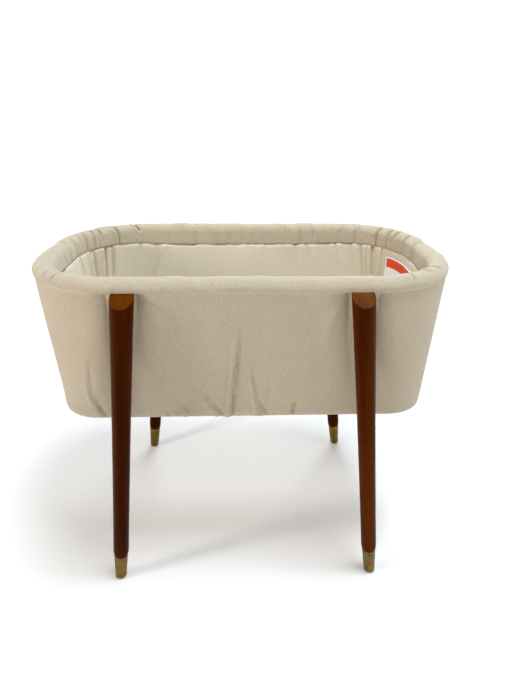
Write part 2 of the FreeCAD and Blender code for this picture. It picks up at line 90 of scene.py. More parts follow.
RIM = (cover_high.x - ROLL_R, cover_high.y - ROLL_R, RIM_CORNER)
RIM_Z = cover_high.z - ROLL_R
SEAM_Z = RIM_Z - SEAM_DROP
BASE = (tube_high.x + TUBE_GAP, tube_high.y + TUBE_GAP, BASE_CORNER)
BASE_Z = (tube_low.z + tube_high.z) / 2
TURN_R = BASE_Z - cover_low.z
BAND_IN = BASE[0] - band_high.x
LINER_TOP = (liner_high.x - LINER, liner_high.y - LINER)
LINER_FOOT = (floor_high.x, floor_high.y, LINER_FOOT_CORNER - LINER)
LEG_TOP_X = 0.2135
UPRIGHT_X = 0.2189
# |Y| is over this on the wall's long sides and under it on its ends
LONG_SIDE = 0.18
LEG_FOOT_X = (glide_low.x + glide_high.x) / 2
LEG_SPLAY = (LEG_FOOT_X - LEG_TOP_X) / leg_high.z


def grown(size, by):
    """A rounded rectangle (half length, half width, corner) made larger all round."""
    return tuple(value + by for value in size)


def between(a, b, share):
    return tuple(p + (q - p) * share for p, q in zip(a, b))


# ---- relief: how folds and puckers raise and sink cloth ------------------------------
def bell(distance, width):
    return np.exp(-((distance / width) ** 2))


def step(value, low, high):
    """0 below low, 1 above high, and smooth between them."""
    share = np.clip((value - low) / (high - low), 0, 1)
    return share * share * (3 - 2 * share)


def fold(distance, depth, width, lip=0.7):
    """A sharp crease with a soft raised lip on its positive side."""
    raised = lip * bell(distance - 2.4 * width, 1.7 * width)
    return depth * (raised - np.exp(-np.abs(distance) / width))


def along(points, x, z):
    """Signed distance from a polyline in the XZ plane, and the share of its length reached."""
    points = np.array(points, float)
    lengths = np.hypot(*np.diff(points, axis=0).T)
    best = np.full(x.shape, 1e9)
    side = np.zeros(x.shape)
    reached = np.zeros(x.shape)
    done = 0.0
    for (ax, az), (bx, bz), length in zip(points[:-1], points[1:], lengths):
        ux, uz = (bx - ax) / length, (bz - az) / length
        t = np.clip((x - ax) * ux + (z - az) * uz, 0, length)
        dx, dz = x - ax - ux * t, z - az - uz * t
        distance = np.hypot(dx, dz)
        nearer = distance < best
        best = np.where(nearer, distance, best)
        side = np.where(nearer, np.sign(ux * (z - az) - uz * (x - ax)), side)
        reached = np.where(nearer, (done + t) / lengths.sum(), reached)
        done += length
    return best * side, reached


def waves(position, around_length, cycles, rng):
    """A smooth random line, from -1 to 1, that closes on itself round a ring."""
    total = 0
    for count in cycles:
        start = rng.uniform(0, math.tau)
        total = total + np.sin(2 * np.pi * count * position / around_length + start)
    return total / len(cycles)


# ---- rings of cloth ------------------------------------------------------------------
def ring(rear, rear_arc, side, front_arc, front):
    """Columns round the basket from the middle of its far side: place on the straights and turn."""
    spans = (
        (rear // 2, 0, -1, 1, 1, 90, 90),
        (rear_arc, -1, -1, 1, 1, 90, 180),
        (side, -1, -1, 1, -1, 180, 180),
        (front_arc, -1, -1, -1, -1, 180, 270),
        (front, -1, 1, -1, -1, 270, 270),
        (front_arc, 1, 1, -1, -1, 270, 360),
        (side, 1, 1, -1, 1, 360, 360),
        (rear_arc, 1, 1, 1, 1, 360, 450),
        (rear // 2, 1, 0, 1, 1, 450, 450),
    )
    columns = []
    for count, a0, a1, b0, b1, t0, t1 in spans:
        share = np.arange(count) / count
        turn = np.radians(t0 + (t1 - t0) * share)
        columns.append([a0 + (a1 - a0) * share, b0 + (b1 - b0) * share, turn])
    return np.concatenate(columns, axis=1)


def laid(columns, sizes, heights):
    """Points of every row and column: rounded rectangles of those sizes at those heights."""
    a, b, turn = columns
    half_x, half_y, corner = (np.array(v)[:, None] for v in zip(*sizes))
    x = a * (half_x - corner) + corner * np.cos(turn)
    y = b * (half_y - corner) + corner * np.sin(turn)
    z = np.broadcast_to(np.array(heights)[:, None], x.shape)
    return np.stack([x, y, z], -1)


def round_length(points):
    """Distance along a closed row of points, with the full length as the last value."""
    legs = np.linalg.norm(np.roll(points, -1, axis=0) - points, axis=1)
    return np.concatenate([[0], np.cumsum(legs)])


def apart(place, where, length):
    """Signed distance between places round a ring of that length, the short way."""
    return (place - where + length / 2) % length - length / 2


def down_length(points):
    """Distance along the rows of a grid, measured up one column."""
    return np.concatenate([[0], np.cumsum(np.linalg.norm(np.diff(points, axis=0), axis=1))])


def facing(points):
    """Unit normals of a closed ring grid, outward when rows run down and columns anticlockwise."""
    down = np.gradient(points, axis=0)
    round_ = np.roll(points, -1, axis=1) - np.roll(points, 1, axis=1)
    normal = np.cross(down, round_)
    return normal / np.maximum(np.linalg.norm(normal, axis=2, keepdims=True), 1e-12)


def mesh_object(name, verts, faces, uvs, material):
    mesh = bpy.data.meshes.new(name)
    mesh.from_pydata(verts, [], faces)
    layer = mesh.uv_layers.new(name="cloth")
    layer.data.foreach_set("uv", np.array(uvs, np.float32).ravel())
    mesh.materials.append(material)
    mesh.shade_smooth()
    made = bpy.data.objects.new(name, mesh)
    bpy.context.scene.collection.objects.link(made)
    return made


def crease_shade_depth(relief):
    """How much painted shade each place of the cloth gets, from 0 to 1: how far it lies in a
    crease, below the mean of its neighbours.
    """
    shallow = 0.0002
    deep = 0.0013
    mean = relief
    for _ in range(4):
        mean = (mean + np.roll(mean, 1, axis=1) + np.roll(mean, -1, axis=1)) / 3
    depth = np.clip((mean - relief - shallow) / (deep - shallow), 0, 1)
    depth = (np.roll(depth, 1, axis=1) + 2 * depth + np.roll(depth, -1, axis=1)) / 4
    depth[1:-1] = (depth[:-2] + depth[1:-1] + depth[2:]) / 3
    return depth


def ring_shell(name, points, thickness, material, relief, row_step=4, column_step=2):
    """A closed ring of cloth: a fine face, a coarser back, and both edges joined."""
    rows, count = points.shape[:2]
    normals = facing(points)
    keep = sorted(set(range(0, rows, row_step)) | {rows - 1})
    back = (points - normals * thickness)[keep][:, ::column_step]
    back_rows, back_count = back.shape[:2]
    u = round_length(points[rows // 2])
    v = down_length(points[:, count // 3])
    faces = []
    uvs = []

    def add(corners):
        """One face from (is back, row, column) corners; columns may run one past the end."""
        face = []
        for is_back, row, column in corners:
            if is_back:
                face.append(rows * count + row * back_count + column % back_count)
                uvs.append((u[column * column_step], v[keep[row]]))
            else:
                face.append(row * count + column % count)
                uvs.append((u[column], v[row]))
        faces.append(face)

    for row in range(rows - 1):
        for c in range(count):
            add([(0, row, c), (0, row + 1, c), (0, row + 1, c + 1), (0, row, c + 1)])
    for row in range(back_rows - 1):
        for c in range(back_count):
            add([(1, row, c), (1, row, c + 1), (1, row + 1, c + 1), (1, row + 1, c)])
    for row, back_row, flip in ((0, 0, False), (rows - 1, back_rows - 1, True)):
        for c in range(back_count):
            fine = [c * column_step + i for i in range(column_step + 1)]
            fan = [[(0, row, f), (0, row, g), (1, back_row, c)] for f, g in zip(fine, fine[1:])]
            fan.append([(0, row, fine[-1]), (1, back_row, c + 1), (1, back_row, c)])
            for corners in fan:
                add(corners[::-1] if flip else corners)
    verts = np.concatenate([points.reshape(-1, 3), back.reshape(-1, 3)])
    shell = mesh_object(name, verts, faces, uvs, material)
    # Painted shade: the crease depth is stored on each point, and the cloth material darkens the
    # creases by it.
    depth = np.zeros((len(verts), 4), np.float32)
    depth[:rows * count, :3] = crease_shade_depth(relief).reshape(-1, 1)
    depth[:, 3] = 1
    painted_crease_shade = shell.data.color_attributes.new("painted_crease_shade", "FLOAT_COLOR", "POINT")
    painted_crease_shade.data.foreach_set("color", depth.ravel())
    return shell


# ---- materials -----------------------------------------------------------------------
def node(tree, kind, inputs=None, **settings):
    """A shader node with its inputs set to values or joined to sockets."""
    made = tree.nodes.new("ShaderNode" + kind)
    for key, value in settings.items():
        setattr(made, key, value)
    for key, value in (inputs or {}).items():
        if isinstance(value, bpy.types.NodeSocket):
            tree.links.new(value, made.inputs[key])
        else:
            made.inputs[key].default_value = value
    return made


def start_material(name, roughness, **constants):
    """A material with only a shader in it, and the shader's constant inputs set."""
    material = bpy.data.materials.new(name)
    material.use_nodes = True
    tree = material.node_tree
    shader = tree.nodes["Principled BSDF"]
    shader.inputs["Roughness"].default_value = roughness
    for key, value in constants.items():
        shader.inputs[key.replace("_", " ")].default_value = value
    return material, tree, shader


def ramp(tree, factor, stops):
    made = node(tree, "ValToRGB", {"Fac": factor})
    elements = made.color_ramp.elements
    while len(elements) < len(stops):
        elements.new(0.5)
    for element, (position, colour) in zip(elements, stops):
        element.position = position
        element.color = (*colour, 1)
    return made.outputs["Color"]


def mix(tree, factor, a, b, blend="MIX"):
    made = node(tree, "Mix", data_type="RGBA", blend_type=blend)
    for index, value in ((0, factor), (6, a), (7, b)):
        if isinstance(value, bpy.types.NodeSocket):
            tree.links.new(value, made.inputs[index])
        else:
            made.inputs[index].default_value = value if index == 0 else (*value, 1)
    return made.outputs[2]


def math_node(tree, operation, *values):
    return node(tree, "Math", dict(enumerate(values)), operation=operation).outputs[0]


def weighted(tree, a, b, share):
    """That share of a, and the rest of b."""
    first = math_node(tree, "MULTIPLY", a, share)
    return math_node(tree, "ADD", first, math_node(tree, "MULTIPLY", b, 1 - share))


def noise(tree, vector, scale, detail=3.0, roughness=0.5):
    inputs = {"Vector": vector, "Scale": scale, "Detail": detail, "Roughness": roughness}
    return node(tree, "TexNoise", inputs).outputs["Fac"]


def stretched(tree, vector, scale):
    return node(tree, "Mapping", {"Vector": vector, "Scale": scale}).outputs["Vector"]


def object_coordinates(tree):
    return node(tree, "TexCoord").outputs["Object"]


def axes(tree, vector):
    """The outputs X, Y and Z of a vector."""
    return node(tree, "SeparateXYZ", {"Vector": vector}).outputs


def join(tree, shader, colour):
    tree.links.new(colour, shader.inputs["Base Color"])


def bump(tree, shader, height, distance, strength):
    made = node(tree, "Bump", {"Height": height, "Distance": distance, "Strength": strength})
    tree.links.new(made.outputs["Normal"], shader.inputs["Normal"])


def cloth_material(name, light, dark, pitch=0.0011):
    """Plain woven cloth: two crossed sets of threads, flecked yarn, uneven tone, and painted shade
    darkening its creases.
    """
    material, tree, shader = start_material(
        name, 0.92, Sheen_Weight=0.25, Sheen_Roughness=0.6, Specular_IOR_Level=0.15
    )
    uv = node(tree, "TexCoord").outputs["UV"]
    place = object_coordinates(tree)
    split = axes(tree, uv)
    threads = []
    for axis in ("X", "Y"):
        turns = math_node(tree, "MULTIPLY", split[axis], 2 * math.pi / pitch)
        threads.append(math_node(tree, "SINE", turns))
    weave = math_node(tree, "MULTIPLY", threads[0], threads[1])
    yarn_across = noise(tree, stretched(tree, uv, (60, 900, 1)), 1.0, 2.0)
    yarn_along = noise(tree, stretched(tree, uv, (900, 60, 1)), 1.0, 2.0)
    flecks = math_node(tree, "MULTIPLY", math_node(tree, "ADD", yarn_across, yarn_along), 0.5)
    mottle = noise(tree, place, 260.0, 4.0, 0.65)
    tone = noise(tree, place, 5.0, 2.0)
    amount = weighted(tree, flecks, mottle, 0.45)
    colour = ramp(tree, amount, ((0.40, dark), (0.58, light)))
    colour = mix(tree, math_node(tree, "MULTIPLY", tone, 0.20), colour, dark)
    # Painted shade: the colour is multiplied darker and browner in the creases.
    painted_crease_shade = node(tree, "Attribute", attribute_name="painted_crease_shade").outputs["Fac"]
    colour = mix(tree, painted_crease_shade, colour, (0.76, 0.68, 0.58), "MULTIPLY")
    join(tree, shader, colour)
    height = math_node(tree, "ADD", math_node(tree, "MULTIPLY", weave, 0.35), mottle)
    bump(tree, shader, height, 0.00025, 0.6)
    return material


def wood_material(name):
    """Gloss-finished stained beech: long grain, dark pores, and orange end grain on the facets,
    lighter there as painted light from above; painted light on the right legs and painted shade on
    the far legs.
    """
    material, tree, shader = start_material(
        name, 0.27, Specular_IOR_Level=0.10, Specular_Tint=(1.0, 0.42, 0.12, 1), IOR=1.25
    )
    place = axes(tree, object_coordinates(tree))
    x = math_node(tree, "ABSOLUTE", place["X"])
    across = math_node(tree, "ADD", x, math_node(tree, "MULTIPLY", place["Z"], LEG_SPLAY))
    other_side = math_node(tree, "MULTIPLY", math_node(tree, "SIGN", place["X"]), 7.0)
    across = math_node(tree, "ADD", across, other_side)
    leg_place = {"X": across, "Y": place["Y"], "Z": place["Z"]}
    grain_place = node(tree, "CombineXYZ", leg_place).outputs[0]
    broad = noise(tree, stretched(tree, grain_place, (38, 38, 2.2)), 1.0, 3.0, 0.55)
    fine = noise(tree, stretched(tree, grain_place, (420, 420, 9)), 1.0, 4.0, 0.6)
    pores = noise(tree, stretched(tree, grain_place, (1500, 1500, 45)), 1.0, 2.0)
    amount = weighted(tree, broad, fine, 0.6)
    colour = ramp(
        tree, amount, ((0.32, (0.026, 0.0035, 0.0004)), (0.50, (0.048, 0.0078, 0.0007)),
                       (0.70, (0.078, 0.0155, 0.0012)))
    )
    dark_pores = ramp(tree, pores, ((0.36, (0.45, 0.40, 0.40)), (0.46, (1, 1, 1))))
    colour = mix(tree, 0.6, colour, dark_pores, "MULTIPLY")
    # Painted light: the legs on the right are lightened, as if lit more from that side.
    right_painted_light = node(tree, "MapRange", {"Value": place["X"], 1: -0.05, 2: 0.05}).outputs[0]
    colour = mix(tree, right_painted_light, colour, (1.42, 1.60, 1.10), "MULTIPLY")
    # Painted shade: the far legs are darkened, as if in the basket's shadow.
    rear_painted_shade = node(tree, "MapRange", {"Value": place["Y"], 1: -0.05, 2: 0.05}).outputs[0]
    colour = mix(tree, rear_painted_shade, colour, (0.66, 0.60, 0.60), "MULTIPLY")
    # Upward-facing cut faces are lighter orange: partly the end grain's colour, partly painted
    # light from above.
    up = axes(tree, node(tree, "NewGeometry").outputs["True Normal"])["Z"]
    facet = node(tree, "MapRange", {"Value": up, 1: 0.3, 2: 0.75}).outputs[0]
    end_grain_and_painted_light = ramp(tree, broad, ((0.35, (0.075, 0.017, 0.0010)), (0.65, (0.120, 0.034, 0.0022))))
    join(tree, shader, mix(tree, facet, colour, end_grain_and_painted_light))
    rough = node(tree, "MapRange", {"Value": broad, 3: 0.22, 4: 0.34}).outputs[0]
    tree.links.new(rough, shader.inputs["Roughness"])
    bump(tree, shader, fine, 0.00012, 0.5)
    return material


def metal_material(name, light, dark, roughness):
    """Worked metal: fine marks along Z, and patches where it has dulled."""
    material, tree, shader = start_material(name, roughness, Metallic=1.0)
    place = object_coordinates(tree)
    marks = noise(tree, stretched(tree, place, (900, 900, 60)), 1.0, 3.0)
    patches = noise(tree, place, 55.0, 4.0, 0.6)
    amount = weighted(tree, marks, patches, 0.35)
    join(tree, shader, ramp(tree, amount, ((0.36, dark), (0.62, light))))
    span = {"Value": patches, 3: roughness - 0.08, 4: roughness + 0.1}
    tree.links.new(node(tree, "MapRange", span).outputs[0], shader.inputs["Roughness"])
    bump(tree, shader, marks, 0.00004, 0.5)
    return material


def speckled_material(name, light, dark, scale, depth, roughness):
    """An even surface broken by fine speckle: coatings, board, foam, moulded plastic."""
    material, tree, shader = start_material(name, roughness)
    place = object_coordinates(tree)
    grains = noise(tree, place, scale, 4.0, 0.6)
    broad = noise(tree, place, scale / 25, 3.0)
    amount = weighted(tree, grains, broad, 0.6)
    join(tree, shader, ramp(tree, amount, ((0.38, dark), (0.60, light))))
    bump(tree, shader, grains, depth, 0.6)
    return material


def ribbed_material(name, light, dark, pitch, depth):
    """Knitted or ribbed cloth: ribs across the cloth's width, from its own layout."""
    material, tree, shader = start_material(name, 0.85, Sheen_Weight=0.2)
    uv = axes(tree, node(tree, "TexCoord").outputs["UV"])
    turns = math_node(tree, "MULTIPLY", uv["X"], 2 * math.pi / pitch)
    ribs = node(tree, "MapRange", {"Value": math_node(tree, "SINE", turns), 1: -1.0}).outputs[0]
    speckle = noise(tree, object_coordinates(tree), 900.0)
    amount = weighted(tree, ribs, speckle, 0.5)
    join(tree, shader, ramp(tree, amount, ((0.2, dark), (0.7, light))))
    bump(tree, shader, ribs, depth, 0.7)
    return material


def label_material(name):
    """A white woven label with a plain orange band near its top, and no lettering."""
    material, tree, shader = start_material(name, 0.7)
    uv = axes(tree, node(tree, "TexCoord").outputs["UV"])
    inside = []
    for axis, low, high in (("X", 0.035, 0.965), ("Y", 0.60, 0.955)):
        over = math_node(tree, "GREATER_THAN", uv[axis], low)
        under = math_node(tree, "LESS_THAN", uv[axis], high)
        inside.append(math_node(tree, "MULTIPLY", over, under))
    band = math_node(tree, "MULTIPLY", inside[0], inside[1])
    speckle = noise(tree, object_coordinates(tree), 1200.0, 2.0)
    white = ramp(tree, speckle, ((0.3, (0.80, 0.80, 0.79)), (0.7, (0.90, 0.90, 0.90))))
    orange = ramp(tree, speckle, ((0.3, (0.70, 0.052, 0.006)), (0.7, (0.84, 0.080, 0.010))))
    join(tree, shader, mix(tree, band, white, orange))
    bump(tree, shader, speckle, 0.00008, 0.5)
    return material


COVER_CLOTH = cloth_material("cover_cloth", (0.534, 0.450, 0.330), (0.446, 0.368, 0.260))
LINER_CLOTH = cloth_material("liner_cloth", (0.720, 0.640, 0.515), (0.640, 0.560, 0.440))
TICKING_CLOTH = cloth_material(
    "ticking_cloth", (0.800, 0.760, 0.680), (0.720, 0.670, 0.580), pitch=0.0009
)
THREAD = ribbed_material("thread", (0.62, 0.52, 0.40), (0.40, 0.32, 0.23), 0.0006, 0.0001)
ELASTIC = ribbed_material("woven_elastic", (0.80, 0.76, 0.68), (0.60, 0.55, 0.47), 0.0012, 0.0003)
LABEL = label_material("label_weave")
FOAM = speckled_material("foam_cells", (0.86, 0.82, 0.70), (0.66, 0.60, 0.46), 650.0, 0.0004, 0.95)
NODE_MATERIALS = {
    "stained_wood": wood_material("stained_beech"),
    "brass": metal_material("aged_brass", (0.230, 0.145, 0.030), (0.105, 0.064, 0.012), 0.36),
    "coated_steel": speckled_material(
        "powder_coat", (0.80, 0.79, 0.75), (0.72, 0.70, 0.66), 500.0, 0.00012, 0.45
    ),
    "bare_steel": metal_material("zinc_steel", (0.62, 0.62, 0.62), (0.42, 0.42, 0.43), 0.34),
    "hardboard": speckled_material(
        "hardboard_fibre", (0.42, 0.28, 0.16), (0.22, 0.13, 0.07), 420.0, 0.0003, 0.8
    ),
    "nylon": speckled_material(
        "moulded_nylon", (0.055, 0.055, 0.055), (0.030, 0.030, 0.030), 700.0, 0.00008, 0.5
    ),
    "foam": FOAM,
    "elastic": ELASTIC,
    "cover_fabric": COVER_CLOTH,
    "liner_fabric": LINER_CLOTH,
    "label_cloth": LABEL,
    "ticking": TICKING_CLOTH,
}


def finish_cad_nodes():
    """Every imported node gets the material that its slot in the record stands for."""
    for part in frame["record"]["subparts"]:
        made = frame["nodes"][part["node"]]
        material = NODE_MATERIALS[part["material_slot"]]
        if not made.material_slots:
            made.data.materials.append(material)
        for place in made.material_slots:
            place.material = material


# ---- the cover: rim roll, wall and the turn under the base ---------------------------
def rim_place(columns, x, y):
    """How far round the rim the point nearest to (x, y) is."""
    path = laid(columns, [RIM], [RIM_Z])[0]
    nearest = np.argmin((path[:, 0] - x) ** 2 + (path[:, 1] - y) ** 2)
    return round_length(path)[nearest]


def at_corner(sign_x, sign_y, degrees):
    """A point on the rim's corner, by degrees from the basket's end towards its long side."""
    turn = math.radians(degrees)
    x = RIM[0] - RIM_CORNER + RIM_CORNER * math.cos(turn)
    y = RIM[1] - RIM_CORNER + RIM_CORNER * math.sin(turn)
    return sign_x * x, sign_y * y


# creases across the rim's corners: signs of X and Y, degrees, depth in mm, where over the
# roll it starts and ends in degrees, and its slant in mm; deepest() limits them
RIM_CREASES = (
    (-1, 1, -9, 7.3, 84, 178, 10),
    (-1, 1, 4, 4.1, 95, 160, 4),
    (-1, 1, 17, 6.8, 84, 170, 7),
    (-1, 1, 25, 9.1, 84, 178, 6),
    (-1, 1, 34, 6.8, 84, 178, 3),
    (-1, 1, 42, 7.7, 84, 170, -3),
    (-1, 1, 58, 10.0, 84, 178, -7),
    (-1, 1, 77, 11.8, 84, 160, -12),
    (1, 1, 46, 8.6, 84, 178, 8),
    (1, 1, 35, 7.3, 84, 178, 5),
    (1, 1, 27, 8.2, 84, 170, 4),
    (1, 1, 12, 6.8, 84, 178, -4),
    (1, 1, -8, 7.7, 84, 178, -8),
    (-1, -1, 44, 7.7, 18, 96, 4),
    (-1, -1, 53, 7.7, 14, 90, 5),
    (-1, -1, 20, 4.1, 20, 100, -4),
    (1, -1, 50, 5.0, 60, 120, -5),
    (1, -1, 38, 5.9, 55, 130, -4),
    (1, -1, 66, 3.6, 30, 100, 4),
)
# small raised nips on the rim's far side, along X in metres
REAR_NIPS = (-0.168, -0.150, 0.108, 0.179, 0.213, 0.233, 0.261, 0.309)

# folds on the near wall: (X, Z) points from the top down, depth and width in mm
WALL_FOLDS = (
    (((-0.004, 0.640), (-0.010, 0.550), (-0.020, 0.480), (-0.026, 0.400)), 4.2, 3.4),
    (((-0.112, 0.482), (-0.078, 0.449), (-0.046, 0.405)), 4.0, 4.4),
    (((-0.132, 0.436), (-0.124, 0.420), (-0.112, 0.402)), 3.6, 4.2),
    (((-0.262, 0.590), (-0.300, 0.530), (-0.304, 0.479), (-0.292, 0.405)), 2.1, 4.1),
    (((-0.312, 0.500), (-0.306, 0.450), (-0.284, 0.402)), 2.4, 3.3),
    (((0.052, 0.520), (0.050, 0.470), (0.052, 0.402)), 1.2, 5.9),
    (((0.030, 0.440), (0.037, 0.424), (0.046, 0.402)), 4.2, 4.2),
    (((0.110, 0.440), (0.104, 0.425), (0.100, 0.402)), 3.8, 4.2),
)
# raised wedges on the near wall: (X, Z) points from the top down, height and final width in mm
WALL_RIDGES = (
    (((0.006, 0.535), (0.014, 0.475), (0.024, 0.405)), 3.6, 6.5),
    (((-0.018, 0.560), (-0.029, 0.480), (-0.036, 0.400)), 3.6, 8.0),
    (((-0.186, 0.672), (-0.172, 0.657), (-0.152, 0.634)), 3.6, 10.0),
    (((0.190, 0.672), (0.172, 0.648), (0.150, 0.600)), 3.1, 12.0),
)
# puckers above the near wall's lower seam: X in metres, height in mm, lean
NEAR_PUCKERS = (
    (-0.168, 15, -0.8), (-0.152, 20, -0.8), (-0.130, 24, -0.7), (-0.112, 11, -0.1),
    (-0.093, 19, -0.8), (-0.070, 11, -0.2), (-0.056, 18, -0.8), (-0.026, 28, -0.1),
    (0.037, 25, -0.7), (0.052, 11, -0.1), (0.064, 16, 0.0), (0.078, 14, -0.6),
    (0.100, 26, 0.0), (0.124, 15, -0.5), (0.143, 12, 0.0), (0.166, 15, 0.0),
)


# in place of a roll angle: the flat panel by the seam, the wall, and the turn under the base
SEAM_PANEL = 178.0
WALL = -40.0
TURN = -80.0


def off_roll(roll):
    """1 on the wall and the turn under the base, and 0 on the roll."""
    return (roll < ROLL_END - 0.1) * 1.0


def cover_rows():
    """The cover's section as (size, height, roll angle) from the seam inside to the underside."""
    rows = []
    leave = math.radians(ROLL_LEAVE)
    leave_z = RIM_Z + ROLL_R * math.sin(leave)
    for z in np.linspace(SEAM_Z, leave_z, 8)[:-1]:
        out = ROLL_R * math.cos(leave) - (leave_z - z) * math.tan(math.pi - leave)
        rows.append((grown(RIM, out), z, SEAM_PANEL))
    for degrees in np.linspace(ROLL_LEAVE, ROLL_END, 34):
        turn = math.radians(degrees)
        size = grown(RIM, ROLL_R * math.cos(turn))
        rows.append((size, RIM_Z + ROLL_R * math.sin(turn), degrees))
    top, top_z, _ = rows[-1]
    close = np.linspace(0, 0.085, 14)[1:]
    middle = np.linspace(0.085, 0.92, 26)[1:]
    low = np.linspace(0.92, 1, 8)[1:]
    for share in (*close, *middle, *low):
        rows.append((between(top, BASE, share), top_z + (BASE_Z - top_z) * share, WALL))
    for degrees in np.linspace(0, -90, 9)[1:]:
        turn = math.radians(degrees)
        size = grown(BASE, TURN_R * math.cos(turn) - TURN_R)
        rows.append((size, BASE_Z + TURN_R * math.sin(turn), TURN))
    return rows


def from_leg(x, z):
    """Distance along X from the middle of the nearest leg at that height."""
    return np.abs(np.abs(x) - LEG_FOOT_X + LEG_SPLAY * z)


def leg_clearance(x, y, z):
    """1 away from the legs, and 0 where a leg's scarf lies against the wall."""
    beside = 1 - step(from_leg(x, z), 0.014, 0.021)
    return 1 - beside * step(z, 0.50, 0.58) * (np.abs(y) > LONG_SIDE)


def rim_relief(columns, roll):
    """Creases, nips and uneven padding on the roll."""
    rng = np.random.default_rng(RNG_SEED)
    path = round_length(laid(columns, [RIM], [RIM_Z])[0])
    length = path[-1]
    place = np.broadcast_to(path[:-1], roll.shape)
    on_roll = step(roll, -9, 20)
    relief = 0.0014 * waves(place, length, (5, 9, 14, 21), rng) * on_roll
    relief += 0.0009 * waves(place + 0.02 * np.radians(roll), length, (27, 34, 45), rng) * on_roll

    def across(where, depth, low, high, slant, width):
        gap = apart(place, where, length) - slant * (roll - (low + high) / 2) / (high - low)
        reach = step(roll, low - 12, low + 18) * (1 - step(roll, high - 10, high + 14))
        return fold(gap, depth, width, 0.3) * reach

    for sign_x, sign_y, degrees, depth, low, high, slant in RIM_CREASES:
        where = rim_place(columns, *at_corner(sign_x, sign_y, degrees))
        relief += across(where, depth / 1000, low, high, slant / 1000, 0.0029)
    for x in REAR_NIPS:
        where = rim_place(columns, x, RIM[1])
        low = rng.uniform(92, 105)
        slant = rng.uniform(-0.006, 0.006)
        relief += across(where, -0.0026, low, low + rng.uniform(30, 55), slant, 0.0036)
    for _ in range(34):
        low = rng.uniform(10, 120)
        slant = rng.uniform(-0.006, 0.006)
        depth = rng.uniform(0.0004, 0.0012)
        where = rng.uniform(0, length)
        relief += across(where, depth, low, low + rng.uniform(25, 60), slant, 0.0038)
    for _ in range(60):
        depth = rng.uniform(0.0007, 0.0022)
        relief += across(rng.uniform(0, length), depth, rng.uniform(130, 155), 185, 0, 0.0034)
    return relief


def wall_relief(columns, points, roll):
    """Folds, ridges and slow undulation on the wall, and puckers over its lower seam."""
    rng = np.random.default_rng(RNG_SEED + 1)
    x, y, z = points[..., 0], points[..., 1], points[..., 2]
    on_wall = off_roll(roll)
    near = step(-np.sin(columns[2]), 0.45, 0.8) * (columns[1] < 0) * on_wall
    foot = laid(columns, [BASE], [BASE_Z])[0]
    path = round_length(foot)
    length = path[-1]
    place = np.broadcast_to(path[:-1], z.shape)
    middle = step(z, 0.400, 0.450) * (1 - step(z, 0.640, 0.684))
    slow = waves(place + 0.1 * z, length, (4, 7, 11), rng)
    short = waves(place - 0.15 * z, length, (17, 23, 31), rng)
    uneven = 1 - 0.65 * step(x, -0.05, 0.12) * (y < 0)
    relief = (0.0026 * slow + 0.0011 * short * uneven) * middle * on_wall
    for line, depth, width in WALL_FOLDS:
        gap, share = along(line, x, z)
        ends = step(share, 0.0, 0.45) * np.where(share >= 1, bell(gap, 0.004), 1)
        relief += fold(-gap, depth / 1000, width / 1000, 0.5) * ends * near
    for line, height, width in WALL_RIDGES:
        gap, share = along(line, x, z)
        wide = width / 1000 * (0.35 + 0.65 * share)
        relief += height / 1000 * bell(gap, wide) * step(share, 0.0, 0.35) * near
    low_z = cover_low.z + 0.004

    def pucker(where, height, lean, depth, width):
        up = np.maximum(z - low_z, 0)
        gap = apart(place, where + lean * up, length)
        ease = 0.06 + 0.94 * step(z, low_z + 0.002, low_z + 0.012)
        fade = (1 - step(up, 0.3 * height, height)) * ease * on_wall
        return fold(gap, depth, width, 0.5) * fade

    relief += 0.0024 * bell(z - low_z - 0.013, 0.011) * near
    for at_x, height, lean in NEAR_PUCKERS:
        nearest = np.argmin(np.abs(foot[:, 0] - at_x) + 10 * (foot[:, 1] > 0))
        relief += pucker(path[nearest], height / 1000, lean, 0.0044, 0.0032)
    where = 0.0
    while where < length:
        spot = np.argmin(np.abs(path[:-1] - where))
        taken = foot[spot, 1] < -LONG_SIDE and abs(foot[spot, 0]) < 0.18
        if not taken:
            height = rng.uniform(0.008, 0.024)
            depth = rng.uniform(0.0008, 0.0021)
            relief += pucker(where, height, rng.uniform(-0.5, 0.5), depth, 0.0036)
        where += rng.uniform(0.016, 0.034)
    return relief


def fitted(x, y, z, roll):
    """How the cover follows its frame: tucked in under the roll, and pressed in by the legs."""
    wall = off_roll(roll)
    reach = np.where(np.abs(x) > LEG_TOP_X, 0.085, 0.040)
    beside = bell(np.abs(x) - LEG_TOP_X, reach) * (np.abs(y) > 0.15)
    below = RIM_Z - 0.0035 - z
    tuck = step(below, 0, 0.004) * np.exp(-np.maximum(below, 0) / 0.034) * wall
    relief = (0.0006 + 0.0016 * beside) * bell(roll - 14, 26) - (0.0022 + 0.0070 * beside) * tuck
    pressed = (np.abs(y) > LONG_SIDE) * wall * step(z, 0.42, 0.66)
    relief -= 0.0044 * bell(from_leg(x, z) - 0.021, 0.012) * pressed
    return relief + 0.0024 * bell(from_leg(x, z) - 0.060, 0.020) * pressed


def deepest(x, z, roll):
    """How far in the cloth may go before it meets foam, tubes or the steel uprights."""
    by_upright = 1 - step(np.abs(np.abs(x) - UPRIGHT_X), 0.021, 0.030)
    by_upright = np.clip(by_upright + step(0.432 - z, 0, 0.008), 0, 1)
    free = off_roll(roll) * (1 - by_upright)
    return 0.0020 * by_upright - 0.0048 - 0.0024 * step(roll, 60, 80) - 0.0044 * free


def cover_relief(columns, points, roll):
    x, y, z = points[..., 0], points[..., 1], points[..., 2]
    run = down_length(points[:, 0])[:, None]
    relief = rim_relief(columns, roll) + wall_relief(columns, points, roll) + fitted(x, y, z, roll)
    relief -= 0.0009 * bell(run, 0.0010) + 0.0012 * bell(run[-1] - run, 0.003)
    limited = np.maximum(np.minimum(relief, TALLEST), deepest(x, z, roll))
    return limited * leg_clearance(x, y, z)


def seam_sag(x, y):
    """How far the seam inside hangs lower along the middle of the far side."""
    return 0.0045 * step(0.33 - np.abs(x), 0.0, 0.2) * (y > 0)


